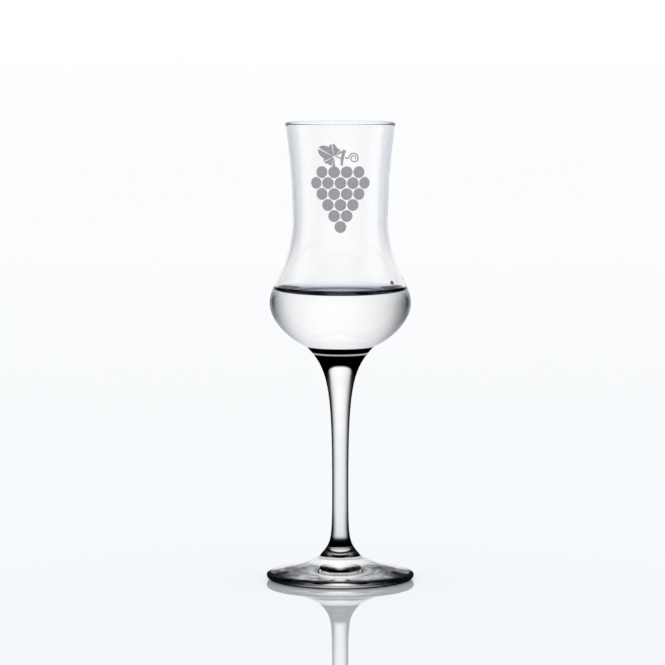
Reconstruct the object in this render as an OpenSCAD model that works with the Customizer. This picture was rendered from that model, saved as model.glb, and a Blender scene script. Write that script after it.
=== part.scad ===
// Tulip glass for grappa: a thin bowl, a drawn stem and a flat foot fused end to end,
// with a measure of clear spirit in the bowl. Millimetres, +Z up, the foot rests on z = 0.

/* [Foot] */
// Widest diameter of the foot
foot_d = 58; // [50:0.5:70]
// Height of the widest line round the edge of the foot
foot_edge_z = 2; // [1.6:0.1:3]
// Height from the widest line to the brow, where the top of the foot begins
foot_brow_up = 1.2; // [0.6:0.1:2]
// How far the brow lies inside the widest line
foot_brow_in = 1.6; // [0.6:0.1:2.5]
// How far the resting ring lies inside the widest line
rest_in = 2.4; // [0.8:0.1:4]
// Width of the flat ring that rests on the table
rest_w = 2.6; // [1:0.1:5]
// Height of the hollow under the middle of the foot
hollow_h = 3; // [0.6:0.1:4]
// Steepness of the hollow beside the resting ring, in degrees
hollow_rise = 3; // [1:0.5:8]
// Height of the joint between foot and stem
foot_h = 9.5; // [8:0.1:14]
// Diameter of the joint between foot and stem
foot_joint_d = 16; // [12:0.1:20]
// Steepness of the top of the foot at the joint, in degrees
foot_rise = 32; // [24:1:42]
// Steepness of the top of the foot at its brow, in degrees
foot_fall = 8.5; // [4:0.5:12]

/* [Stem] */
// Length of the stem from joint to joint
stem_l = 82.7; // [60:0.1:110]
// Diameter of the stem at its thinnest
stem_d = 6.4; // [5:0.1:9]
// Height of the thinnest place above the foot joint
stem_thin_up = 27.2; // [15:0.1:40]
// Steepness of the stem at the foot joint, in degrees
stem_foot_slope = 52; // [45:1:75]
// Steepness of the stem at the bowl joint, in degrees
stem_bowl_slope = 47; // [35:1:65]
// Diameter of the joint between stem and bowl
bowl_joint_d = 26.4; // [20:0.1:30]

/* [Bowl] */
// Height of the bulb's widest line above the bowl joint
bulb_up = 17.2; // [12:0.1:24]
// Outer diameter of the bulb
bulb_d = 55.4; // [46:0.1:64]
// Steepness of the bulb at the bowl joint, in degrees
bulb_base_slope = 22.5; // [12:0.5:40]
// Height of the waist above the bulb's widest line
waist_up = 33; // [24:0.1:45]
// Outer diameter of the waist
waist_d = 37.2; // [32:0.1:42]
// Height of the lip above the waist
lip_up = 37.6; // [25:0.1:55]
// Outer diameter of the lip
lip_d = 43.1; // [40:0.1:50]
// Outward lean of the wall at the lip, in degrees
lip_lean = 10; // [2:0.5:15]
// Thickness of the rounded lip
lip_t = 1; // [0.8:0.1:1.6]
// Thickness of the bowl's wall
wall = 1.2; // [0.8:0.1:2]
// Thickness of the bowl's floor over the bowl joint
floor_t = 2.2; // [1.5:0.1:4]

/* [Spirit] */
// Depth of the spirit at the middle of the bowl
fill_h = 18.8; // [8:0.2:30]
// Height that the spirit climbs at the wall
meniscus_h = 2.5; // [0.5:0.1:3]
// Width of the curved band of spirit beside the wall
meniscus_w = 5; // [1.5:0.1:7]
// Clearance between the spirit and the glass
fill_gap = 0.05; // [0.02:0.01:0.1]

/* [Hidden] */
$fn = 96;

// Steps along a long curve, a short curve and a small round
LONG_STEPS = 10;
SHORT_STEPS = 6;
ROUND_STEPS = 4;

// Reach of a curve's handles, as a share of its length: the higher, the fuller the curve
LIP_REACH = 0.43;
WAIST_REACH_UP = 0.05;
WAIST_REACH_DOWN = 0.52;
BULB_REACH_UP = 0.24;
BULB_REACH_DOWN = 0.47;
BULB_BASE_REACH = 0.34;
FLOOR_REACH = 0.72;
CAVITY_REACH_DOWN = 0.42;
STEM_TOP_REACH = 0.22;
STEM_THIN_REACH_UP = 0.72;
STEM_THIN_REACH_DOWN = 0.84;
STEM_BASE_REACH = 0.27;
FOOT_TOP_REACH = 0.3;
FOOT_BROW_REACH = 0.45;
HOLLOW_EDGE_REACH = 0.21;
HOLLOW_REACH = 0.33;
MENISCUS_REACH = 0.6;
ROUND_REACH = 0.5523;

// Heights of the joints, the bulb, the waist and the lip above the table
bowl_z = foot_h + stem_l;
bulb_z = bowl_z + bulb_up;
waist_z = bulb_z + waist_up;
lip_z = waist_z + lip_up;

// Heights of the bowl's floor inside and of the spirit's level above the table
floor_z = bowl_z + floor_t;
level_z = floor_z + fill_h;

// Directions in the plane of the outline
UP = [0, 1];
DOWN = [0, -1];
OUT = [1, 0];
function down_out(steepness) = [cos(steepness), -sin(steepness)];
function down_in(steepness) = [-cos(steepness), -sin(steepness)];

// Points of a cubic curve from a to b: each end leaves along its own way, for its own reach
function curve(a, a_way, a_reach, b, b_way, b_reach, steps) =
    let (p = a + a_way * a_reach, q = b + b_way * b_reach)
    [for (i = [0 : steps]) let (t = i / steps, s = 1 - t)
        s * s * s * a + 3 * s * s * t * p + 3 * s * t * t * q + t * t * t * b];

// A list without its first point
function tail(list) = [for (i = [1 : len(list) - 1]) list[i]];

// Points round the lip, from 0 degrees at its outside to 180 at its inside
lip_middle = [(lip_d - lip_t) / 2, lip_z - lip_t / 2];
function lip_point(angle) =
    lip_middle + lip_t / 2 * [cos(angle - lip_lean), sin(angle - lip_lean)];
lip_down = down_in(90 - lip_lean);

// Outside of the bowl, from the lip down to the bowl joint
function bowl_outside() =
    let (waist = [waist_d / 2, waist_z],
         bulb = [bulb_d / 2, bulb_z],
         joint = [bowl_joint_d / 2, bowl_z])
    concat(curve(lip_point(0), lip_down, LIP_REACH * lip_up,
                 waist, UP, WAIST_REACH_UP * lip_up, SHORT_STEPS),
           tail(curve(waist, DOWN, WAIST_REACH_DOWN * waist_up,
                      bulb, UP, BULB_REACH_UP * waist_up, LONG_STEPS)),
           tail(curve(bulb, DOWN, BULB_REACH_DOWN * bulb_up,
                      joint, -down_in(bulb_base_slope), BULB_BASE_REACH * bulb_up, LONG_STEPS)));

// Inside of the bowl, from the middle of its floor up to the lip, drawn in by a clearance
function cavity(inset) =
    let (middle = [0, floor_z + inset],
         bulb = [bulb_d / 2 - wall - inset, bulb_z],
         waist = [waist_d / 2 - wall - inset, waist_z],
         lip = lip_point(180) - inset * OUT,
         depth = bulb_z - middle.y)
    concat(curve(middle, OUT, FLOOR_REACH * bulb.x,
                 bulb, DOWN, CAVITY_REACH_DOWN * depth, LONG_STEPS),
           tail(curve(bulb, UP, BULB_REACH_UP * waist_up,
                      waist, DOWN, WAIST_REACH_DOWN * waist_up, LONG_STEPS)),
           tail(curve(waist, UP, WAIST_REACH_UP * lip_up,
                      lip, lip_down, LIP_REACH * lip_up, SHORT_STEPS)));

module bowl() {
    lip_round = [for (i = [1 : ROUND_STEPS - 1]) lip_point(180 - 180 * i / ROUND_STEPS)];
    color("aliceblue", 0.4)
        rotate_extrude()
            polygon(concat([[0, bowl_z]], cavity(0), lip_round, bowl_outside()));
}

module stem() {
    top = [bowl_joint_d / 2, bowl_z];
    thin = [stem_d / 2, foot_h + stem_thin_up];
    base = [foot_joint_d / 2, foot_h];
    drop = top.y - thin.y;
    upper = curve(top, down_in(stem_bowl_slope), STEM_TOP_REACH * drop,
                  thin, UP, STEM_THIN_REACH_UP * drop, LONG_STEPS);
    lower = curve(thin, DOWN, STEM_THIN_REACH_DOWN * stem_thin_up,
                  base, -down_out(stem_foot_slope), STEM_BASE_REACH * stem_thin_up, LONG_STEPS);
    color("lightcyan", 0.4)
        rotate_extrude()
            polygon(concat([[0, bowl_z]], upper, tail(lower), [[0, foot_h]]));
}

module foot() {
    joint = [foot_joint_d / 2, foot_h];
    edge = [foot_d / 2, foot_edge_z];
    brow = edge + [-foot_brow_in, foot_brow_up];
    rest = [edge.x - rest_in, 0];
    hollow = [rest.x - rest_w, 0];
    middle = [0, hollow_h];
    spread = brow.x - joint.x;
    top = curve(joint, down_out(foot_rise), FOOT_TOP_REACH * spread,
                brow, -down_out(foot_fall), FOOT_BROW_REACH * spread, LONG_STEPS);
    brow_round = curve(brow, down_out(foot_fall), ROUND_REACH * foot_brow_in,
                       edge, UP, ROUND_REACH * foot_brow_up, ROUND_STEPS);
    rest_round = curve(edge, DOWN, ROUND_REACH * edge.y,
                       rest, OUT, ROUND_REACH * rest_in, ROUND_STEPS);
    under = curve(hollow, -down_out(hollow_rise), HOLLOW_EDGE_REACH * hollow.x,
                  middle, OUT, HOLLOW_REACH * hollow.x, SHORT_STEPS);
    color("azure", 0.4)
        rotate_extrude()
            polygon(concat([[0, foot_h]], top, tail(brow_round), tail(rest_round), under));
}

module spirit() {
    inside = cavity(fill_gap);
    edge_z = level_z + meniscus_h;
    edge_r = lookup(edge_z, [for (p = inside) [p.y, p.x]]);
    wetted = [for (p = inside) if (p.y < edge_z) p];
    meniscus = curve([edge_r, edge_z], DOWN, MENISCUS_REACH * meniscus_h,
                     [edge_r - meniscus_w, level_z], OUT, MENISCUS_REACH * meniscus_w, SHORT_STEPS);
    color("white", 0.3)
        rotate_extrude()
            polygon(concat(wetted, meniscus, [[0, level_z]]));
}

bowl();
stem();
foot();
spirit();
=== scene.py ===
import math

import bmesh
import bpy
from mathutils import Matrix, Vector


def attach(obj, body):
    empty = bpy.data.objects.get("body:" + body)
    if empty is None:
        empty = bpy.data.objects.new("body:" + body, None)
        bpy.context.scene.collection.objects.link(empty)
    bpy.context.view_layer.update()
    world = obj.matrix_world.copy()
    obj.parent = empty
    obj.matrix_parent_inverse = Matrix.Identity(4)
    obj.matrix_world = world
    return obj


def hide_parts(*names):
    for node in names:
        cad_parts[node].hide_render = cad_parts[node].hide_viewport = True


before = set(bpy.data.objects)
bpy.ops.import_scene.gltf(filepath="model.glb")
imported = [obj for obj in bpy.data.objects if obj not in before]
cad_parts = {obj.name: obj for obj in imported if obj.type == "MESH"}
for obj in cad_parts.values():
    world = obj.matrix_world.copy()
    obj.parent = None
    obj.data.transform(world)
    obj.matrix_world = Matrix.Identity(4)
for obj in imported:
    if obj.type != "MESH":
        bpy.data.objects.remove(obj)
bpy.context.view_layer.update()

MM = 0.001

# Sizes of the glass in millimetres and degrees, as in its solids
FOOT_D = 58.0
FOOT_EDGE_Z = 2.0
FOOT_BROW_UP = 1.2
FOOT_BROW_IN = 1.6
REST_IN = 2.4
REST_W = 2.6
HOLLOW_H = 3.0
HOLLOW_RISE = 3
FOOT_H = 9.5
FOOT_JOINT_D = 16.0
FOOT_RISE = 32
FOOT_FALL = 8.5
STEM_L = 82.7
STEM_D = 6.4
STEM_THIN_UP = 27.2
STEM_FOOT_SLOPE = 52
STEM_BOWL_SLOPE = 47
BOWL_JOINT_D = 26.4
BULB_UP = 17.2
BULB_D = 55.4
BULB_BASE_SLOPE = 22.5
WAIST_UP = 33.0
WAIST_D = 37.2
LIP_UP = 37.6
LIP_D = 43.1
LIP_LEAN = 10
LIP_T = 1.0
WALL = 1.2
FLOOR_T = 2.2
FILL_H = 18.8
MENISCUS_H = 2.5
MENISCUS_W = 5.0
FILL_GAP = 0.05

# Reach of each curve's handles, as in the solids
LIP_REACH = 0.43
WAIST_REACH_UP = 0.05
WAIST_REACH_DOWN = 0.52
BULB_REACH_UP = 0.24
BULB_REACH_DOWN = 0.47
BULB_BASE_REACH = 0.34
FLOOR_REACH = 0.72
CAVITY_REACH_DOWN = 0.42
STEM_TOP_REACH = 0.22
STEM_THIN_REACH_UP = 0.72
STEM_THIN_REACH_DOWN = 0.84
STEM_BASE_REACH = 0.27
FOOT_TOP_REACH = 0.3
FOOT_BROW_REACH = 0.45
HOLLOW_EDGE_REACH = 0.21
HOLLOW_REACH = 0.33
MENISCUS_REACH = 0.6
ROUND_REACH = 0.5523

# Heights above the table
BOWL_Z = FOOT_H + STEM_L
BULB_Z = BOWL_Z + BULB_UP
WAIST_Z = BULB_Z + WAIST_UP
LIP_Z = WAIST_Z + LIP_UP
FLOOR_Z = BOWL_Z + FLOOR_T
LEVEL_Z = FLOOR_Z + FILL_H
WET_Z = LEVEL_Z + MENISCUS_H

# Fineness of the turned meshes
TURN_STEPS = 192
CURVE_STEPS = 44
ROUND_STEPS = 10
CREASE_DEG = 20
# Points of an outline nearer than this to each other, in millimetres, are one point
SAME_POINT = 1e-6
# Points of an outline nearer than this to the contact line, in millimetres, give way to it
CONTACT_GAP = 0.4

UP = Vector((0, 1))
DOWN = Vector((0, -1))
OUT = Vector((1, 0))


def down_out(steepness):
    angle = math.radians(steepness)
    return Vector((math.cos(angle), -math.sin(angle)))


def down_in(steepness):
    angle = math.radians(steepness)
    return Vector((-math.cos(angle), -math.sin(angle)))


def curve(a, a_way, a_reach, b, b_way, b_reach, steps=CURVE_STEPS):
    """Points of a cubic curve from a to b: each end leaves along its own way, for its own reach."""
    a, b = Vector(a), Vector(b)
    p, q = a + a_way * a_reach, b + b_way * b_reach
    points = []
    for i in range(steps + 1):
        t = i / steps
        s = 1 - t
        points.append(s * s * s * a + 3 * s * s * t * p + 3 * s * t * t * q + t * t * t * b)
    return points


LIP_MIDDLE = Vector(((LIP_D - LIP_T) / 2, LIP_Z - LIP_T / 2))
LIP_DOWN = down_in(90 - LIP_LEAN)


def lip_point(degrees):
    """A point round the lip, from 0 degrees at its outside to 180 at its inside."""
    angle = math.radians(degrees - LIP_LEAN)
    return LIP_MIDDLE + LIP_T / 2 * Vector((math.cos(angle), math.sin(angle)))


def bowl_outside():
    """Outside of the bowl, from the lip down to the bowl joint."""
    waist = (WAIST_D / 2, WAIST_Z)
    bulb = (BULB_D / 2, BULB_Z)
    joint = (BOWL_JOINT_D / 2, BOWL_Z)
    upper = curve(lip_point(0), LIP_DOWN, LIP_REACH * LIP_UP, waist, UP, WAIST_REACH_UP * LIP_UP)
    shoulder = curve(waist, DOWN, WAIST_REACH_DOWN * WAIST_UP, bulb, UP, BULB_REACH_UP * WAIST_UP)
    base = curve(bulb, DOWN, BULB_REACH_DOWN * BULB_UP,
                 joint, -down_in(BULB_BASE_SLOPE), BULB_BASE_REACH * BULB_UP)
    return upper + shoulder[1:] + base[1:]


def cavity(inset):
    """Inside of the bowl, from the middle of its floor up to the lip, drawn in by a clearance."""
    middle = Vector((0, FLOOR_Z + inset))
    bulb = Vector((BULB_D / 2 - WALL - inset, BULB_Z))
    waist = Vector((WAIST_D / 2 - WALL - inset, WAIST_Z))
    lip = lip_point(180) - inset * OUT
    base = curve(middle, OUT, FLOOR_REACH * bulb.x,
                 bulb, DOWN, CAVITY_REACH_DOWN * (bulb.y - middle.y))
    shoulder = curve(bulb, UP, BULB_REACH_UP * WAIST_UP, waist, DOWN, WAIST_REACH_DOWN * WAIST_UP)
    upper = curve(waist, UP, WAIST_REACH_UP * LIP_UP, lip, LIP_DOWN, LIP_REACH * LIP_UP)
    return base + shoulder[1:] + upper[1:]


def radius_at(points, z):
    """Radius of an outline at a height, whichever way its points run."""
    for a, b in zip(points, points[1:]):
        if min(a.y, b.y) <= z <= max(a.y, b.y) and a.y != b.y:
            return a.x + (b.x - a.x) * (z - a.y) / (b.y - a.y)
    raise ValueError(f"no point of the outline is {z} mm high")


def new_piece(name, mesh, materials):
    """An object from a bmesh, which it shades smooth up to its creases and frees."""
    bmesh.ops.recalc_face_normals(mesh, faces=mesh.faces)
    for face in mesh.faces:
        face.smooth = True
    for edge in mesh.edges:
        if len(edge.link_faces) == 2 and edge.calc_face_angle() > math.radians(CREASE_DEG):
            edge.smooth = False
    data = bpy.data.meshes.new(name)
    mesh.to_mesh(data)
    mesh.free()
    for material in materials:
        data.materials.append(material)
    piece = bpy.data.objects.new(name, data)
    bpy.context.scene.collection.objects.link(piece)
    return piece


def lathe(name, runs, materials):
    """A closed solid of revolution, with its main material first.

    A run is a list of points, in millimetres, and the material of the surface that leads to them.
    """
    outline, bands = [], []
    for points, material in runs:
        for point in points:
            if outline and (point - outline[-1]).length < SAME_POINT:
                continue
            if outline:
                bands.append(materials.index(material))
            outline.append(Vector(point))
    mesh = bmesh.new()
    rings = []
    for r, z in outline:
        if r < SAME_POINT:
            rings.append([mesh.verts.new((0, 0, z * MM))])
            continue
        ring = []
        for i in range(TURN_STEPS):
            angle = 2 * math.pi * i / TURN_STEPS
            x, y = r * MM * math.cos(angle), r * MM * math.sin(angle)
            ring.append(mesh.verts.new((x, y, z * MM)))
        rings.append(ring)
    for a, b, number in zip(rings, rings[1:], bands):
        for i in range(TURN_STEPS):
            j = (i + 1) % TURN_STEPS
            corners = [a[i % len(a)], a[j % len(a)], b[j % len(b)], b[i % len(b)]]
            corners = list(dict.fromkeys(corners))
            if len(corners) > 2:
                mesh.faces.new(corners).material_index = number
    return new_piece(name, mesh, materials)


WHITE = (1, 1, 1, 1)
# What a vector is multiplied by to lose its height
LEVEL = (1, 1, 0)
# The sockets of a Mix node that are for colours
MIX_SHARE, MIX_FIRST, MIX_SECOND, MIX_RESULT = 0, 6, 7, 2
# The blend at which a Layer Weight node's facing is 1 less the cosine of the angle
FACING_BLEND = 0.5
# Heights and radii run from 0 to 1 over this many millimetres
HEIGHT_SPAN = 200
RADIUS_SPAN = 30
# Detail of the noise in worked glass and in a satin grain
SWELL_DETAIL = 1.0
GRAIN_DETAIL = 3.0


def add(tree, kind, inputs=None, **settings):
    """A node with its settings, each of its inputs set to a value or joined to a socket."""
    node = tree.nodes.new("ShaderNode" + kind)
    for key, value in settings.items():
        setattr(node, key, value)
    for key, value in (inputs or {}).items():
        if isinstance(value, bpy.types.NodeSocket):
            tree.links.new(value, node.inputs[key])
        else:
            node.inputs[key].default_value = value
    return node


def new_material(name):
    material = bpy.data.materials.new(name)
    material.use_nodes = True
    tree = material.node_tree
    tree.nodes.clear()
    return material, tree


def finish_material(tree, shader):
    add(tree, "OutputMaterial", {"Surface": shader.outputs[0]})


def maths(tree, operation, *values):
    return add(tree, "Math", dict(enumerate(values)), operation=operation).outputs[0]


def vector_maths(tree, operation, *values):
    """The outputs of an operation on vectors: Vector, or Value where it gives a number."""
    return add(tree, "VectorMath", dict(enumerate(values)), operation=operation).outputs


def mix_shaders(tree, share, first, second):
    return add(tree, "MixShader", {0: share, 1: first.outputs[0], 2: second.outputs[0]})


def blend(tree, share, first, second):
    """A colour that goes from the first to the second as the share grows."""
    inputs = {MIX_SHARE: share, MIX_FIRST: first, MIX_SECOND: second}
    return add(tree, "Mix", inputs, data_type="RGBA").outputs[MIX_RESULT]


def multiply(tree, first, second):
    inputs = {MIX_SHARE: 1.0, MIX_FIRST: first, MIX_SECOND: second}
    node = add(tree, "Mix", inputs, data_type="RGBA", blend_type="MULTIPLY")
    return node.outputs[MIX_RESULT]


def ramp(tree, factor, stops, interpolation="EASE"):
    """A colour ramp. A stop is a place from 0 to 1 and a grey or a colour."""
    node = add(tree, "ValToRGB", {0: factor})
    node.color_ramp.interpolation = interpolation
    elements = node.color_ramp.elements
    while len(elements) < len(stops):
        elements.new(0.5)
    for element, (position, value) in zip(elements, stops):
        element.position = position
        colour = value if isinstance(value, tuple) else (value, value, value)
        element.color = (*colour, 1)
    return node.outputs["Color"]


def facing(tree, normal=None):
    """How far the surface turns away from the eye, from 0 square on to 1 edge on."""
    inputs = {"Blend": FACING_BLEND}
    if normal:
        inputs["Normal"] = normal
    return add(tree, "LayerWeight", inputs).outputs["Facing"]


def behind(tree):
    """1 where the surface is seen from within, and otherwise 0."""
    return add(tree, "NewGeometry").outputs["Backfacing"]


def place(tree):
    return add(tree, "NewGeometry").outputs["Position"]


def height(tree):
    z = add(tree, "SeparateXYZ", {0: place(tree)}).outputs["Z"]
    return add(tree, "MapRange", {"Value": z, "From Max": HEIGHT_SPAN * MM}).outputs[0]


def radius(tree):
    flat = vector_maths(tree, "MULTIPLY", place(tree), LEVEL)["Vector"]
    length = vector_maths(tree, "LENGTH", flat)["Value"]
    return add(tree, "MapRange", {"Value": length, "From Max": RADIUS_SPAN * MM}).outputs[0]


def spans(span, stops):
    """Stops given in millimetres, as places from 0 to 1 over a span."""
    return [(mm / span, value) for mm, value in stops]


def by_height(tree, stops):
    return ramp(tree, height(tree), spans(HEIGHT_SPAN, stops))


def by_radius(tree, stops):
    return ramp(tree, radius(tree), spans(RADIUS_SPAN, stops))


def noise(tree, length, detail):
    """Soft noise, whose features have a length in millimetres."""
    inputs = {"Vector": place(tree), "Scale": 1 / (length * MM), "Detail": detail}
    return add(tree, "TexNoise", inputs).outputs["Fac"]


def relief(tree, rise, depth, strength=1.0):
    """The normal of a surface with a relief, whose depth is in millimetres."""
    inputs = {"Strength": strength, "Distance": depth * MM, "Height": rise}
    return add(tree, "Bump", inputs).outputs[0]


def ripple(tree, wave):
    """The faint waviness of worked glass. A wave is the length of its swells and their depth."""
    length, depth = wave
    return relief(tree, noise(tree, length, SWELL_DETAIL), depth)


GLASS_IOR = 1.5
SPIRIT_IOR = 1.36

# The ramps of the materials, most of them painted shade that darkens the glass. An edge, a below
# and a shine go by how far the surface turns away, from 0 square on to 1 edge on. Heights and
# radii, which say where the painted shade falls, are in millimetres, and so are the waves.

# From outside, a surface mirrors nothing where it is seen square on, and more as it turns away
SHINE = [(0.25, 0.0), (0.5, 1.0)]
NO_PAINTED_SHADE = [(0.0, 1.0), (1.0, 1.0)]

# The bowl above the spirit's edge, and its bulb below it: painted shade, darker towards the edges
# and in bands of height
UPPER_EDGE_PAINTED_SHADE = [(0.34, 1.0), (0.47, (0.87, 0.875, 0.91)), (0.6, (0.79, 0.80, 0.84)),
              (1.0, (0.74, 0.75, 0.79))]
UPPER_SHADE_HEIGHT = [(117, 0.1), (123, 0.1), (136, 0.8), (150, 1.0)]
BULB_EDGE_PAINTED_SHADE = [(0.36, 1.0), (0.44, (0.92, 0.94, 0.985)), (0.54, (0.88, 0.905, 0.965)),
             (0.667, (0.78, 0.805, 0.875)), (0.735, (0.64, 0.66, 0.725)),
             (0.85, (0.47, 0.485, 0.535))]
BULB_SHADE_HEIGHT = [(92.5, 0.3), (97, 0.5), (101, 0.5), (106, 0.9), (112, 1.0), (117, 0.2)]
BULB_SHINE = [(0.6, 0.0), (0.9, 1.0)]
BOWL_WAVE = (12, 0.06)

# The stem, its base and its flare, with painted shade: darker edges, and dark bands at its two ends
STEM_EDGE_PAINTED_SHADE = [(0.08, 1.0), (0.18, 0.9), (0.3, 0.7), (0.4, 0.4), (0.47, 0.16), (0.56, 0.06),
             (0.75, 0.03)]
BASE_EDGE_PAINTED_SHADE = [(0.04, 1.0), (0.14, 0.85), (0.24, 0.55), (0.33, 0.2), (0.42, 0.03)]
BASE_SHADE_HEIGHT = [(18, 1.0), (30, 0.0)]
FLARE_EDGE_PAINTED_SHADE = [(0.18, 1.0), (0.26, 0.85), (0.33, 0.25), (0.38, 0.03)]
FLARE_SHADE_HEIGHT = [(74, 0.0), (82, 1.0)]
STEM_PAINTED_SHADE_BANDS = [(9.5, 0.5), (9.7, 0.03), (10.2, 0.03), (10.6, 1.0), (13.2, 1.0), (13.7, 0.3),
              (14.1, 0.01), (15.8, 0.01), (16.3, 0.12), (16.9, 0.4), (17.4, (0.87, 0.88, 0.905)),
              (45.0, (0.93, 0.94, 0.965)), (70.0, 1.0)]
STEM_INSIDE_PAINTED_SHADE = [(86.4, 1.0), (87.0, 0.15)]
FLARE_DOME_PAINTED_SHADE = [(86.9, 1.0), (87.2, 0.4), (87.5, 0.05), (88.0, 0.015)]
# Height by which the painted shade of the flare comes down as its surface turns away, in
# millimetres
DOME_DROP = 12

# The foot from its middle out, with painted shade darker towards its edges: its top, the outer part
# of that, its brow, its rim and under it
FOOT_EDGE_PAINTED_SHADE = [(0.70, 1.0), (0.725, (0.75, 0.75, 0.78)), (0.755, (0.36, 0.36, 0.4)),
             (0.79, (0.2, 0.2, 0.235)), (0.88, (0.24, 0.24, 0.275)), (0.93, 1.0)]
FOOT_SHADE_RADIUS = [(11, 0.0), (14, 0.5), (20, 1.0)]
FOOT_SHINE_RADIUS = [(12, 0.0), (22, 0.4)]
OUTER_EDGE_PAINTED_SHADE = [(0.715, 1.0), (0.735, (0.6, 0.6, 0.64)), (0.76, (0.2, 0.2, 0.23)), (0.785, 0.05),
              (0.80, 0.06), (0.82, (0.3, 0.3, 0.34)), (0.86, (0.38, 0.38, 0.42)),
              (0.89, (0.75, 0.75, 0.78)), (0.915, 1.0)]
OUTER_SHINE_RADIUS = [(22, 0.4), (26, 1.0)]
BROW_EDGE_PAINTED_SHADE = [(0.3, 1.0), (0.42, 0.25), (0.5, 0.06), (0.87, 0.03), (0.92, 1.0)]
RIM_EDGE_PAINTED_SHADE = [(0.0, 1.0), (0.03, 0.9), (0.08, 0.5), (0.18, 0.1), (0.3, 0.03)]
UNDER_RIM_EDGE_PAINTED_SHADE = [(0.25, 1.0), (0.4, 0.4), (0.55, 0.05)]
FOOT_WAVE = (10, 0.22)

# The spirit's level, its edge from above and from within, and the drop, with painted shade darker
# towards their edges
SPIRIT_EDGE_PAINTED_SHADE = [(0.6, 1.0), (0.9, (0.5, 0.5, 0.57))]
MENISCUS_EDGE_PAINTED_SHADE = [(0.1, 1.0), (0.35, (0.85, 0.85, 0.9)), (0.55, (0.6, 0.6, 0.66)),
                 (0.68, (0.4, 0.4, 0.45)), (0.78, (0.22, 0.22, 0.25)), (0.86, 0.07), (0.92, 0.03)]
MENISCUS_BELOW_PAINTED_SHADE = [(0.2, (0.08, 0.08, 0.09)), (0.5, (0.15, 0.15, 0.165)), (0.75, (0.2, 0.2, 0.22)),
                  (0.88, 0.004)]
DROP_EDGE_PAINTED_SHADE = [(0.1, 1.0), (0.3, 0.1), (0.5, 0.02)]

# Satin surfaces: the noise at which the grain is dark and pale, its roughness from least to most,
# and its relief in millimetres and strength
SATIN_GRAIN = (0.3, 0.7)
SATIN_ROUGHNESS = (0.35, 0.6)
SATIN_RELIEF = 0.02
SATIN_STRENGTH = 0.3
# The dark and the pale of each satin surface, and the length of its grain in millimetres. The
# seam's pale grey is a painted highlight, standing in for the bright line at the joint of bowl and
# stem.
SEAM_HIGHLIGHT_COLOURS = [(0.42, 0.42, 0.46), (0.54, 0.54, 0.58)]
SEAM_GRAIN = 0.3
ENAMEL_COLOURS = [(0.34, 0.34, 0.345), (0.41, 0.41, 0.415)]
ENAMEL_GRAIN = 0.35


def mirroring(tree, share, inputs):
    """Glass that refracts, and mirrors as much as the share says."""
    through = add(tree, "BsdfRefraction", inputs)
    glassy = add(tree, "BsdfGlass", inputs)
    return mix_shaders(tree, share, through, glassy)


def clear_shader(tree, ior, painted_shade=WHITE, normal=None, shine=SHINE, shine_radii=None):
    """Glass that mirrors where its shine and the radii allow it, and always from within."""
    inputs = {"Color": painted_shade, "Roughness": 0.0, "IOR": ior}
    if normal:
        inputs["Normal"] = normal
    share = ramp(tree, facing(tree), shine)
    if shine_radii:
        share = multiply(tree, share, by_radius(tree, shine_radii))
    return mirroring(tree, maths(tree, "MAXIMUM", share, behind(tree)), inputs)


def glass_material(name, ior, edge=None, heights=None, radii=None, below=None, wave=None,
                   shine=SHINE, shine_radii=None):
    """Clear glass or liquid.

    Painted shade darkens its colour as the surface turns away, where the heights and radii allow
    it. Seen from within, the surface takes the painted shade of below, if that is given.
    """
    material, tree = new_material(name)
    normal = ripple(tree, wave) if wave else None
    # Painted shade: the colour darkens by how far the surface turns away, by height and by radius
    painted_shade = WHITE
    if edge:
        painted_shade = ramp(tree, facing(tree, normal), edge)
    if heights:
        painted_shade = blend(tree, by_height(tree, heights), WHITE, painted_shade)
    if radii:
        painted_shade = blend(tree, by_radius(tree, radii), WHITE, painted_shade)
    if below:
        painted_shade = blend(tree, behind(tree), painted_shade, ramp(tree, facing(tree), below))
    finish_material(tree, clear_shader(tree, ior, painted_shade, normal, shine, shine_radii))
    return material


def stem_material(name, ior):
    """Glass with painted shade: darker edges, and the dark bands of a stem's two ends, seen from
    outside and from within.
    """
    material, tree = new_material(name)
    # Painted shade of the stem, by how far its surface turns away and by height
    turned = facing(tree)
    straight = ramp(tree, turned, STEM_EDGE_PAINTED_SHADE)
    flared = ramp(tree, turned, FLARE_EDGE_PAINTED_SHADE)
    painted_shade = blend(tree, by_height(tree, FLARE_SHADE_HEIGHT), straight, flared)
    painted_shade = blend(tree, by_height(tree, BASE_SHADE_HEIGHT), painted_shade, ramp(tree, turned, BASE_EDGE_PAINTED_SHADE))
    lifted = maths(tree, "MULTIPLY_ADD", turned, DOME_DROP / HEIGHT_SPAN, height(tree))
    dome = ramp(tree, lifted, spans(HEIGHT_SPAN, FLARE_DOME_PAINTED_SHADE))
    outside = multiply(tree, by_height(tree, STEM_PAINTED_SHADE_BANDS), dome)
    inside = by_height(tree, STEM_INSIDE_PAINTED_SHADE)
    painted_shade = multiply(tree, painted_shade, blend(tree, behind(tree), outside, inside))
    finish_material(tree, clear_shader(tree, ior, painted_shade))
    return material


def inner_wall_material(name, ior):
    """Dry glass inside the bowl: it mirrors only the light that comes from within the wall."""
    material, tree = new_material(name)
    inputs = {"Color": WHITE, "Roughness": 0.0, "IOR": ior}
    finish_material(tree, mirroring(tree, behind(tree), inputs))
    return material


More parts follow.
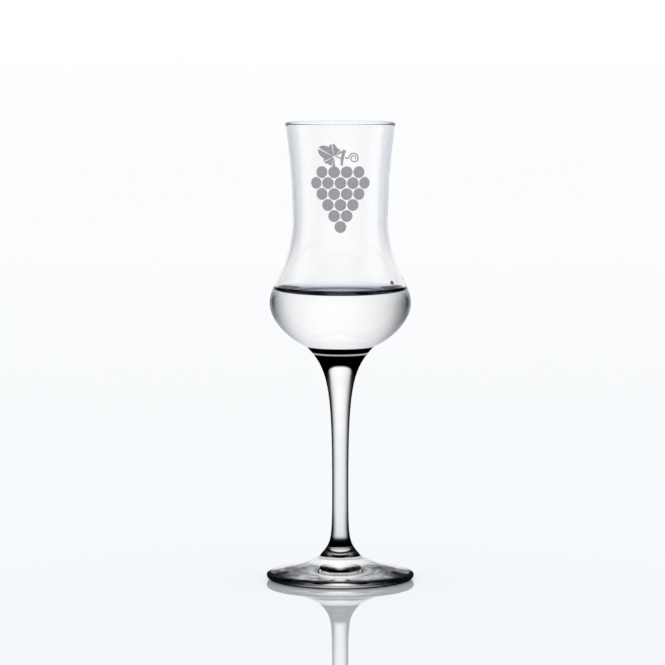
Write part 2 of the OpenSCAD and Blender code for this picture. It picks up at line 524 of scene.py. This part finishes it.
def satin_material(name, colours, grain_mm):
    """Opaque satin surface, such as fired enamel, with a grain in its colour, gloss and relief."""
    material, tree = new_material(name)
    grain = noise(tree, grain_mm, GRAIN_DETAIL)
    least, most = SATIN_ROUGHNESS
    roughness = add(tree, "MapRange", {"Value": grain, "To Min": least, "To Max": most})
    shader = add(tree, "BsdfPrincipled", {
        "Base Color": ramp(tree, grain, list(zip(SATIN_GRAIN, colours))),
        "Roughness": roughness.outputs[0],
        "Normal": relief(tree, grain, SATIN_RELIEF, SATIN_STRENGTH),
        "IOR": GLASS_IOR,
    })
    finish_material(tree, shader)
    return material


def unseen_material(name):
    material, tree = new_material(name)
    finish_material(tree, add(tree, "BsdfTransparent"))
    return material


# The glass and spirit below carry painted shade in their colour, from the ramps above
upper_glass = glass_material("clear_glass", GLASS_IOR, UPPER_EDGE_PAINTED_SHADE, heights=UPPER_SHADE_HEIGHT,
                             wave=BOWL_WAVE)
bulb_glass = glass_material("bulb_glass", GLASS_IOR, BULB_EDGE_PAINTED_SHADE, heights=BULB_SHADE_HEIGHT,
                            wave=BOWL_WAVE, shine=BULB_SHINE)
inner_glass = inner_wall_material("inner_glass", GLASS_IOR)
stem_glass = stem_material("stem_glass", GLASS_IOR)
foot_glass = glass_material("foot_glass", GLASS_IOR, FOOT_EDGE_PAINTED_SHADE, radii=FOOT_SHADE_RADIUS,
                            wave=FOOT_WAVE, shine_radii=FOOT_SHINE_RADIUS)
outer_glass = glass_material("foot_outer_glass", GLASS_IOR, OUTER_EDGE_PAINTED_SHADE,
                             wave=FOOT_WAVE, shine_radii=OUTER_SHINE_RADIUS)
brow_glass = glass_material("foot_brow_glass", GLASS_IOR, BROW_EDGE_PAINTED_SHADE, below=NO_PAINTED_SHADE)
rim_glass = glass_material("foot_rim_glass", GLASS_IOR, RIM_EDGE_PAINTED_SHADE)
under_rim_glass = glass_material("foot_under_rim_glass", GLASS_IOR, UNDER_RIM_EDGE_PAINTED_SHADE)
under_glass = glass_material("foot_under_glass", GLASS_IOR)
wetted_glass = glass_material("wetted_glass", GLASS_IOR / SPIRIT_IOR)
liquid = glass_material("clear_spirit", SPIRIT_IOR, SPIRIT_EDGE_PAINTED_SHADE)
meniscus_edge = glass_material("spirit_edge", SPIRIT_IOR, MENISCUS_EDGE_PAINTED_SHADE, below=MENISCUS_BELOW_PAINTED_SHADE)
drop_liquid = glass_material("drop_spirit", SPIRIT_IOR, DROP_EDGE_PAINTED_SHADE)
fused = unseen_material("fused_joint")
# The seam's pale grey is a painted highlight at the joint of bowl and stem
seam = satin_material("fused_seam_painted_highlight", SEAM_HIGHLIGHT_COLOURS, SEAM_GRAIN)
enamel = satin_material("grey_enamel", ENAMEL_COLOURS, ENAMEL_GRAIN)


def make_bowl():
    """The bowl, wet inside up to the spirit's edge and dry above it."""
    inside = cavity(0)
    outside = bowl_outside()
    dry = [p for p in inside if p.y > WET_Z + CONTACT_GAP]
    wet = [p for p in inside if p.y < WET_Z - CONTACT_GAP]
    contact = Vector((radius_at(inside, WET_Z), WET_Z))
    lip_round = [lip_point(180 - 180 * i / ROUND_STEPS) for i in range(ROUND_STEPS + 1)]
    joint = Vector((BOWL_JOINT_D / 2, BOWL_Z))
    runs = [
        (wet + [contact], wetted_glass),
        (dry, inner_glass),
        (lip_round + [p for p in outside if p.y >= WET_Z], upper_glass),
        ([p for p in outside if p.y < WET_Z], bulb_glass),
        ([joint, Vector((0, BOWL_Z))], fused),
    ]
    return lathe("Bowl", runs, [upper_glass, wetted_glass, fused, inner_glass, bulb_glass])


# The fine seam round the flare under the bowl: heights, and how far each stands proud
SEAM_RING = [(89.95, 0.0), (89.78, 0.04), (89.6, 0.05), (89.42, 0.04), (89.25, 0.0)]


def make_stem():
    """The stem, with its seam standing proud of the flare."""
    top = Vector((BOWL_JOINT_D / 2, BOWL_Z))
    thin = Vector((STEM_D / 2, FOOT_H + STEM_THIN_UP))
    base = Vector((FOOT_JOINT_D / 2, FOOT_H))
    drop = top.y - thin.y
    upper = curve(top, down_in(STEM_BOWL_SLOPE), STEM_TOP_REACH * drop,
                  thin, UP, STEM_THIN_REACH_UP * drop)
    lower = curve(thin, DOWN, STEM_THIN_REACH_DOWN * STEM_THIN_UP,
                  base, -down_out(STEM_FOOT_SLOPE), STEM_BASE_REACH * STEM_THIN_UP)
    ring = [Vector((radius_at(upper, z) + rise, z)) for z, rise in SEAM_RING]
    runs = [
        ([Vector((0, BOWL_Z)), top], fused),
        ([p for p in upper if p.y > ring[0].y] + ring[:1], stem_glass),
        (ring, seam),
        ([p for p in upper if p.y < ring[-1].y] + lower[1:], stem_glass),
        ([base, Vector((0, FOOT_H))], fused),
    ]
    return lathe("Stem", runs, [stem_glass, fused, seam])


# Radius in millimetres from which painted shade darkens the top of the foot towards its brow
FOOT_OUTER_R = 22
# Steps that belong to the brow above the widest line, and to the rim below it
BROW_STEPS = ROUND_STEPS // 2
RIM_STEPS = ROUND_STEPS // 3


def make_foot():
    """The foot, with its resting ring and the hollow under it."""
    joint = Vector((FOOT_JOINT_D / 2, FOOT_H))
    edge = Vector((FOOT_D / 2, FOOT_EDGE_Z))
    brow = edge + Vector((-FOOT_BROW_IN, FOOT_BROW_UP))
    rest = Vector((edge.x - REST_IN, 0))
    hollow = Vector((rest.x - REST_W, 0))
    middle = Vector((0, HOLLOW_H))
    spread = brow.x - joint.x
    top = curve(joint, down_out(FOOT_RISE), FOOT_TOP_REACH * spread,
                brow, -down_out(FOOT_FALL), FOOT_BROW_REACH * spread)
    brow_round = curve(brow, down_out(FOOT_FALL), ROUND_REACH * FOOT_BROW_IN,
                       edge, UP, ROUND_REACH * FOOT_BROW_UP, ROUND_STEPS)
    rest_round = curve(edge, DOWN, ROUND_REACH * edge.y,
                       rest, OUT, ROUND_REACH * REST_IN, ROUND_STEPS)
    under = curve(hollow, -down_out(HOLLOW_RISE), HOLLOW_EDGE_REACH * hollow.x,
                  middle, OUT, HOLLOW_REACH * hollow.x)
    runs = [
        ([Vector((0, FOOT_H)), joint], fused),
        ([p for p in top if p.x <= FOOT_OUTER_R], foot_glass),
        ([p for p in top if p.x > FOOT_OUTER_R], outer_glass),
        (brow_round[:BROW_STEPS], brow_glass),
        (brow_round[BROW_STEPS:] + rest_round[:RIM_STEPS], rim_glass),
        (rest_round[RIM_STEPS:], under_rim_glass),
        (under, under_glass),
    ]
    materials = [foot_glass, fused, rim_glass, under_glass, outer_glass, brow_glass,
                 under_rim_glass]
    return lathe("Foot", runs, materials)


# Steps of the meniscus that carry painted shade; the rest lie flat like the surface
MENISCUS_STEPS = 41


def make_spirit():
    """The spirit, a small clearance inside the bowl, with its meniscus."""
    inside = cavity(FILL_GAP)
    wet = [p for p in inside if p.y < WET_Z - CONTACT_GAP]
    edge = Vector((radius_at(inside, WET_Z), WET_Z))
    flat = Vector((edge.x - MENISCUS_W, LEVEL_Z))
    meniscus = curve(edge, DOWN, MENISCUS_REACH * MENISCUS_H,
                     flat, OUT, MENISCUS_REACH * MENISCUS_W)
    runs = [
        (wet + [edge], fused),
        (meniscus[:MENISCUS_STEPS], meniscus_edge),
        (meniscus[MENISCUS_STEPS:] + [Vector((0, LEVEL_Z))], liquid),
    ]
    return lathe("Spirit", runs, [liquid, fused, meniscus_edge])


# The print on the front of the upper bowl, a plain bunch of grapes. Its places are in millimetres,
# across and up from its middle; it stands proud of the glass and its back is sunk into the surface.
PRINT_Z = 154.5
PRINT_PROUD = 0.035
PRINT_SUNK = 0.005
GRAPE_R = 2.3
GRAPE_STEP = 4.9
GRAPE_ROWS = (4, 5, 4, 3, 2, 1)
GRAPE_TOP = 7.0
GRAPE_ROW_STEP = 4.25
GRAPE_CELLS = 8
LEAF_BASE = (-2.4, 12.9)
LEAF_WAY = 152
# Each lobe of the leaf: degrees from the leaf's way, and length
LEAF_LOBES = [(-104, 3.0), (-52, 5.2), (0, 7.2), (52, 4.6), (104, 2.4)]
LEAF_SPREAD = 126
LEAF_NOTCH = 0.5
LEAF_POINT = 2.2
LEAF_LOBE_WIDTH = 1.75
LEAF_VEIN = 2.2
LEAF_HEART = 0.5
# Cells of the leaf between two veins, and from its heart to its edge
LEAF_CELLS = 12
LEAF_RINGS = 5
STALK = [(0.5, 9.6), (0.6, 11.4), (0.95, 13.4), (1.6, 15.6)]
STALK_W = (0.9, 1.4)
PETIOLE = [(0.35, 12.3), (-0.7, 12.8), (-1.8, 12.95)]
PETIOLE_W = (0.55, 0.45)
TENDRIL_FROM = (1.75, 12.6)
TENDRIL_MIDDLE = (5.3, 12.4)
TENDRIL_R = (2.1, 0.6)
TENDRIL_TURNS = 1.6
TENDRIL_STEPS = 48
TENDRIL_W = (0.55, 0.4)


def make_print():
    """The print, in closed flakes that follow the bowl."""
    outside = bowl_outside()
    mesh = bmesh.new()

    def on_bowl(across, up, proud):
        z = PRINT_Z + up
        r = radius_at(outside, z)
        angle = across / r - math.pi / 2
        r += proud
        return mesh.verts.new((r * MM * math.cos(angle), r * MM * math.sin(angle), z * MM))

    def patch(grid):
        """A closed flake from a grid of places."""
        front = [[on_bowl(*spot, PRINT_PROUD) for spot in row] for row in grid]
        back = [[on_bowl(*spot, -PRINT_SUNK) for spot in row] for row in grid]
        rows, columns = len(grid), len(grid[0])
        for side in (front, back):
            for i in range(rows - 1):
                for j in range(columns - 1):
                    mesh.faces.new((side[i][j], side[i][j + 1], side[i + 1][j + 1], side[i + 1][j]))
        border = [(0, j) for j in range(columns - 1)]
        border += [(i, columns - 1) for i in range(rows - 1)]
        border += [(rows - 1, j) for j in range(columns - 1, 0, -1)]
        border += [(i, 0) for i in range(rows - 1, 0, -1)]
        for (i, j), (k, m) in zip(border, border[1:] + border[:1]):
            mesh.faces.new((front[i][j], front[k][m], back[k][m], back[i][j]))

    def disc(across, up):
        """A round flake, its square grid drawn in to a circle."""
        marks = [2 * i / GRAPE_CELLS - 1 for i in range(GRAPE_CELLS + 1)]
        patch([[(across + GRAPE_R * x * math.sqrt(1 - y * y / 2),
                 up + GRAPE_R * y * math.sqrt(1 - x * x / 2)) for x in marks] for y in marks])

    def strip(points, widths):
        """A line that changes from one width to another."""
        points = [Vector(point) for point in points]
        grid = []
        for i, point in enumerate(points):
            way = (points[min(i + 1, len(points) - 1)] - points[max(i - 1, 0)]).normalized()
            aside = Vector((-way.y, way.x))
            half = (widths[0] + (widths[1] - widths[0]) * i / (len(points) - 1)) / 2
            grid.append([tuple(point - aside * half), tuple(point), tuple(point + aside * half)])
        patch(grid)

    def leaf_reach(degrees):
        """Length of the leaf at an angle from its way: that of the lobe that reaches farthest."""
        reach = 0
        for middle, length in LEAF_LOBES:
            off = min(90, abs(degrees - middle) * LEAF_LOBE_WIDTH)
            share = max(0.0, math.cos(math.radians(off))) ** LEAF_POINT
            reach = max(reach, length * (LEAF_NOTCH + (1 - LEAF_NOTCH) * share))
        return reach

    def leaf_place(degrees, ring):
        angle = math.radians(LEAF_WAY + degrees)
        reach = LEAF_HEART + (leaf_reach(degrees) - LEAF_HEART) * ring / LEAF_RINGS
        return LEAF_BASE[0] + reach * math.cos(angle), LEAF_BASE[1] + reach * math.sin(angle)

    for row, count in enumerate(GRAPE_ROWS):
        for i in range(count):
            disc((i - (count - 1) / 2) * GRAPE_STEP, GRAPE_TOP - row * GRAPE_ROW_STEP)
    edges = [-LEAF_SPREAD] + [middle for middle, length in LEAF_LOBES] + [LEAF_SPREAD]
    for start, end in zip(edges, edges[1:]):
        start, end = start + LEAF_VEIN, end - LEAF_VEIN
        turns = [start + (end - start) * i / LEAF_CELLS for i in range(LEAF_CELLS + 1)]
        patch([[leaf_place(turn, ring) for turn in turns] for ring in range(LEAF_RINGS + 1)])
    strip(STALK, STALK_W)
    strip(PETIOLE, PETIOLE_W)
    coil = []
    for i in range(TENDRIL_STEPS + 1):
        share = i / TENDRIL_STEPS
        angle = math.pi - 2 * math.pi * TENDRIL_TURNS * share
        reach = TENDRIL_R[0] + (TENDRIL_R[1] - TENDRIL_R[0]) * share
        coil.append((TENDRIL_MIDDLE[0] + reach * math.cos(angle),
                     TENDRIL_MIDDLE[1] + reach * math.sin(angle)))
    strip([TENDRIL_FROM] + coil, TENDRIL_W)
    return new_piece("Print", mesh, [enamel])


# The stray drop on the inside of the bowl: its height, its place in degrees round the bowl from
# the front, and its size
DROP_Z = 118.2
DROP_TURN = 55.5
DROP_R = 0.75
DROP_H = 0.6
DROP_GAP = 0.01
DROP_RINGS = 6
DROP_STEPS = 32
DROP_SAG = 0.15
# Height over which the slope of the wall is taken, in millimetres
SLOPE_STEP = 1


def make_drop():
    """The drop, a low dome square to the wall and wider below than above."""
    inside = cavity(0)
    r = radius_at(inside, DROP_Z)
    slope = math.atan((r - radius_at(inside, DROP_Z + SLOPE_STEP)) / SLOPE_STEP)
    turn = math.radians(DROP_TURN - 90)
    out = Vector((math.cos(turn), math.sin(turn), 0))
    aside = Vector((-math.sin(turn), math.cos(turn), 0))
    up = Vector((0, 0, math.cos(slope))) - out * math.sin(slope)
    inward = -out * math.cos(slope) - Vector((0, 0, math.sin(slope)))
    base = out * r + Vector((0, 0, DROP_Z)) + inward * DROP_GAP
    mesh = bmesh.new()
    rings = []
    for k in range(DROP_RINGS):
        lift = math.pi / 2 * k / DROP_RINGS
        ring = []
        for i in range(DROP_STEPS):
            angle = 2 * math.pi * i / DROP_STEPS
            reach = DROP_R * math.cos(lift) * (1 - DROP_SAG * math.sin(angle))
            spot = base + aside * (reach * math.cos(angle)) + up * (reach * math.sin(angle))
            ring.append(mesh.verts.new((spot + inward * (DROP_H * math.sin(lift))) * MM))
        rings.append(ring)
    tip = mesh.verts.new((base + inward * DROP_H) * MM)
    mesh.faces.new(rings[0])
    for a, b in zip(rings, rings[1:]):
        for i in range(DROP_STEPS):
            j = (i + 1) % DROP_STEPS
            mesh.faces.new((a[i], a[j], b[j], b[i]))
    for i in range(DROP_STEPS):
        mesh.faces.new((rings[-1][i], rings[-1][(i + 1) % DROP_STEPS], tip))
    return new_piece("Drop", mesh, [drop_liquid])


# The ground that the glass stands on: its side in metres, its depth under the resting ring in
# millimetres, and its look
GROUND_SIDE = 60.0
GROUND_GAP = 0.03
GROUND_COLOUR = (0.85, 0.9, 0.955, 1)
GROUND_ROUGHNESS = 0.015
GROUND_IOR = 1.5
GROUND_COAT = 0.35


def make_floor():
    mesh = bmesh.new()
    bmesh.ops.create_grid(mesh, x_segments=1, y_segments=1, size=GROUND_SIDE / 2)
    bmesh.ops.translate(mesh, verts=mesh.verts, vec=(0, 0, -GROUND_GAP * MM))
    material, tree = new_material("pale_floor")
    shader = add(tree, "BsdfPrincipled", {
        "Base Color": GROUND_COLOUR,
        "Roughness": GROUND_ROUGHNESS,
        "IOR": GROUND_IOR,
        "Coat Weight": GROUND_COAT,
        "Coat Roughness": GROUND_ROUGHNESS,
    })
    finish_material(tree, shader)
    new_piece("Floor", mesh, [material])


# The studio, as it shows through the glass: wide white panels behind and before it, narrower ones
# on its sides, and dark gaps between them. The light goes by degrees away from the nearer wide
# panel, and the panels are turned by some degrees.
STUDIO_LIGHT = [(90, 1.0), (80, 0.9), (72, 0.5), (65, 0.12), (58, 0.06), (54, 0.1), (48, 0.2),
                (41, 0.36), (37, 0.46), (31, 0.64), (23, 0.82), (15, 0.92), (0, 1.0)]
STUDIO_TURN = 4
# A ray's depth is a whole number: over this it is one or more
ANY_DEPTH = 0.5


def make_world():
    """A white world, in which only refracted rays see the studio's panels and gaps."""
    world = bpy.data.worlds.new("Studio")
    bpy.context.scene.world = world
    world.use_nodes = True
    tree = world.node_tree
    tree.nodes.clear()
    ray = add(tree, "TexCoord").outputs["Generated"]
    level = vector_maths(tree, "MULTIPLY", ray, LEVEL)["Vector"]
    level = vector_maths(tree, "NORMALIZE", level)["Vector"]
    turn = math.radians(STUDIO_TURN)
    panel = (math.sin(turn), math.cos(turn), 0)
    toward = vector_maths(tree, "DOT_PRODUCT", level, panel)["Value"]
    stops = [(math.cos(math.radians(degrees)), value) for degrees, value in STUDIO_LIGHT]
    light = ramp(tree, maths(tree, "ABSOLUTE", toward), stops, "LINEAR")
    path = add(tree, "LightPath").outputs
    sharp = maths(tree, "LESS_THAN", path["Diffuse Depth"], ANY_DEPTH)
    passed = maths(tree, "GREATER_THAN", path["Transmission Depth"], ANY_DEPTH)
    mirrored = maths(tree, "MULTIPLY", path["Is Glossy Ray"], passed)
    refracted = maths(tree, "MAXIMUM", path["Is Transmission Ray"], mirrored)
    refracted = maths(tree, "MULTIPLY", refracted, sharp)
    studio = add(tree, "Background", {"Color": WHITE, "Strength": light})
    white = add(tree, "Background", {"Color": WHITE, "Strength": 1.0})
    mix = mix_shaders(tree, refracted, white, studio)
    add(tree, "OutputWorld", {"Surface": mix.outputs[0]})


# Camera: the photograph's viewing angle, in metres, degrees and millimetres of focal length
CAMERA_FAR = 1.600
CAMERA_UP = 0.238
CAMERA_LEFT = 0.00305
CAMERA_PITCH = 5.013
LENS = 221.6
SENSOR = 36


def make_camera():
    data = bpy.data.cameras.new("Camera")
    data.lens = LENS
    data.sensor_width = SENSOR
    camera = bpy.data.objects.new("Camera", data)
    camera.location = (-CAMERA_LEFT, -CAMERA_FAR, CAMERA_UP)
    camera.rotation_euler = (math.radians(90 - CAMERA_PITCH), 0, 0)
    bpy.context.scene.collection.objects.link(camera)
    bpy.context.scene.camera = camera


for make, slot in ((make_print, "clear_glass"), (make_drop, "clear_spirit")):
    piece = make()
    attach(piece, "root")

for node, make, slot in (
    ("bowl", make_bowl, "clear_glass"),
    ("stem", make_stem, "clear_glass"),
    ("foot", make_foot, "clear_glass"),
    ("spirit", make_spirit, "clear_spirit"),
):
    piece = make()
    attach(piece, "root")
    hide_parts(node)

make_floor()
make_world()
make_camera()

# Bounces of light, enough to pass through every wall of the glass
BOUNCES = 32
GLOSSY_BOUNCES = 16

scene = bpy.context.scene
scene.view_settings.view_transform = "Standard"
scene.cycles.max_bounces = BOUNCES
scene.cycles.transmission_bounces = BOUNCES
scene.cycles.glossy_bounces = GLOSSY_BOUNCES
scene.cycles.transparent_max_bounces = BOUNCES
